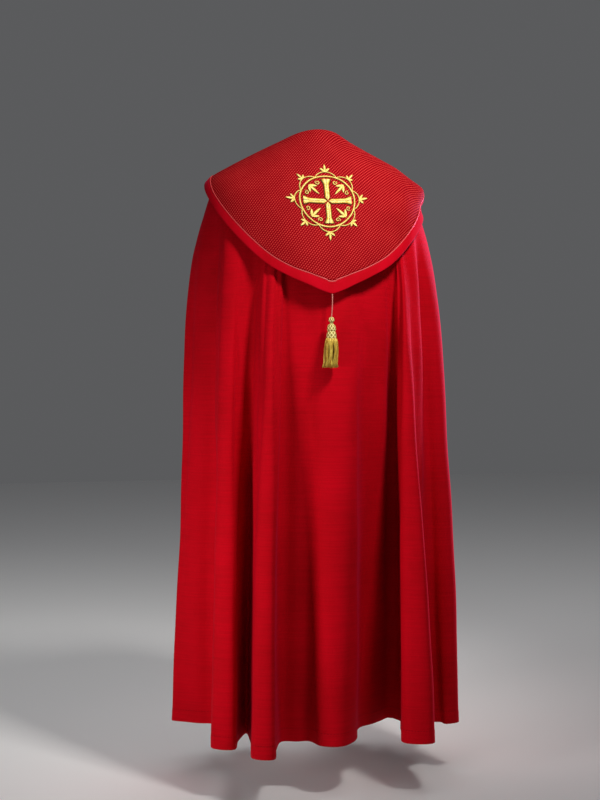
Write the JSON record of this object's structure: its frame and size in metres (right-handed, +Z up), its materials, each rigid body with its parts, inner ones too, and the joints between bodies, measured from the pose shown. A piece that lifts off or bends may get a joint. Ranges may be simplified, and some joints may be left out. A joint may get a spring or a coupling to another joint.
{
  "type": "cope",
  "caption": "Open-fronted liturgical cloak hanging in deep folds from the shoulders, with a shield-shaped hood, front bands, a breast strap and a tassel.",
  "frame": {"origin": "middle of the neck opening, level with the top of the shoulders", "axes": "+Z up, the wearer faces -Y, +X is the wearer's left"},
  "size_m": [0.6946, 0.5413, 1.4437],
  "materials": {
    "mantle_cloth": "matt, fine woven wool with a soft sheen",
    "brocade": "satin ground with small woven dashes",
    "border_cloth": "matt, plain woven",
    "piping": "thin satin cord",
    "gold_thread": "metallic thread",
    "cord": "twisted thread"
  },
  "bodies": {
    "root": {"mantle_left": "mantle_cloth", "mantle_back": "mantle_cloth", "mantle_right": "mantle_cloth", "front_band_left": "brocade", "front_band_right": "brocade", "hood_panel": "brocade", "hood_piping": "piping", "hood_border": "border_cloth", "emblem_cross": "gold_thread", "emblem_wreath": "gold_thread", "breast_strap": "border_cloth", "tassel_cord": "cord", "tassel": "gold_thread"}
  },
  "joints": []
}
